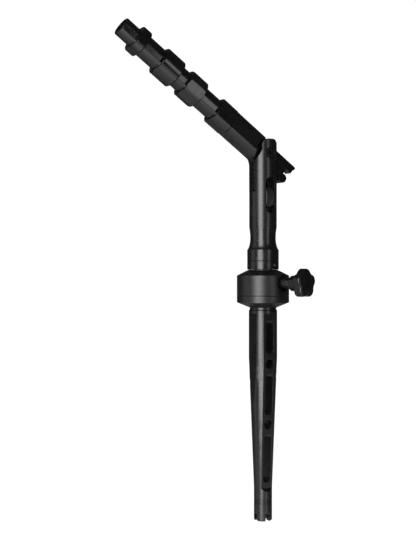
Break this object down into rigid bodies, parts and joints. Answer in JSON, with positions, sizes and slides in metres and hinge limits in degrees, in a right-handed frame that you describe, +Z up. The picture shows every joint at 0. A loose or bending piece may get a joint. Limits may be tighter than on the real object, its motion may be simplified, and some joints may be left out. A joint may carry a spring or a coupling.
{
  "type": "tilting swivel boom mount",
  "caption": "Slotted insert with a knob-clamped swivel collar, a fork post with a thumb lock and a tilting arm that ends in a stepped spigot.",
  "frame": {"origin": "on the insert's axis at its slotted lower end", "axes": "+Z up the insert's axis; the arm leans towards -X; the tilt hinge runs along Y; the windows face +Y and -Y"},
  "size_m": [0.2724, 0.1134, 0.6655],
  "materials": {
    "satin_black": "satin black anodised",
    "collar_black": "satin black anodised",
    "turned_black": "turned and black anodised",
    "button_black": "bead-blasted and black anodised",
    "black_steel": "black oxide",
    "bright_steel": "bright",
    "spring_steel": "drawn wire",
    "bronze": "sintered bronze",
    "brass": "machined",
    "knob_plastic": "moulded, fine texture",
    "acetal": "smooth"
  },
  "bodies": {
    "base": {"insert_body": "satin_black", "collar_base": "collar_black", "collar_body": "collar_black", "lower_bush": "acetal", "upper_bush": "acetal", "stud_boss": "turned_black"},
    "swivel": {"spindle": "bright_steel", "retaining_washer": "bright_steel", "spindle_nut": "bright_steel", "lock_ring": "turned_black", "ring_set_screws": "bright_steel", "neck_hub": "turned_black", "post": "satin_black", "guide_screw": "black_steel", "pivot_bolt": "black_steel", "pivot_nut": "black_steel", "lock_spring": "spring_steel"},
    "arm": {"hinge_block": "satin_black", "block_set_screw": "black_steel", "pivot_bush": "bronze", "front_thrust_washer": "acetal", "rear_thrust_washer": "acetal", "spigot_shaft": "turned_black", "rear_ring": "turned_black", "middle_ring": "turned_black", "front_ring": "turned_black", "tip_ring": "turned_black"},
    "lock": {"lock_block": "black_steel", "cross_pin": "black_steel", "front_thumb_button": "button_black", "rear_thumb_button": "button_black"},
    "pad": {"clamp_pad": "brass"},
    "knob": {"clamp_stud": "bright_steel", "knob_washer": "black_steel", "knob_insert": "brass", "star_knob": "knob_plastic"}
  },
  "joints": [
    {"name": "swivel_turn", "type": "hinge", "parent": "base", "child": "swivel", "pos_m": [0, 0, 0.3265], "axis": [0, 0, 1], "continuous": true},
    {"name": "tilt", "type": "hinge", "parent": "swivel", "child": "arm", "pos_m": [0, 0, 0.5045], "axis": [0, 1, 0], "range_deg": [0, 55]},
    {"name": "lock_slide", "type": "slide", "parent": "swivel", "child": "lock", "axis": [0, 0, 1], "range_m": [0, 0.0105], "stiffness_N_per_m": 400, "springref_m": 0.012, "deforming": ["lock_spring"]},
    {"name": "pad_travel", "type": "slide", "parent": "base", "child": "pad", "axis": [0.342, -0.9397, 0], "range_m": [-0.00027, 0.00126]},
    {"name": "knob_turn", "type": "hinge", "parent": "pad", "child": "knob", "pos_m": [0, 0, 0.3265], "axis": [0.342, -0.9397, 0], "range_deg": [-75, 360]}
  ],
  "couplings": [
    {"joint": "pad_travel", "follows": "knob_turn", "m_per_rad": 0.00019894}
  ]
}
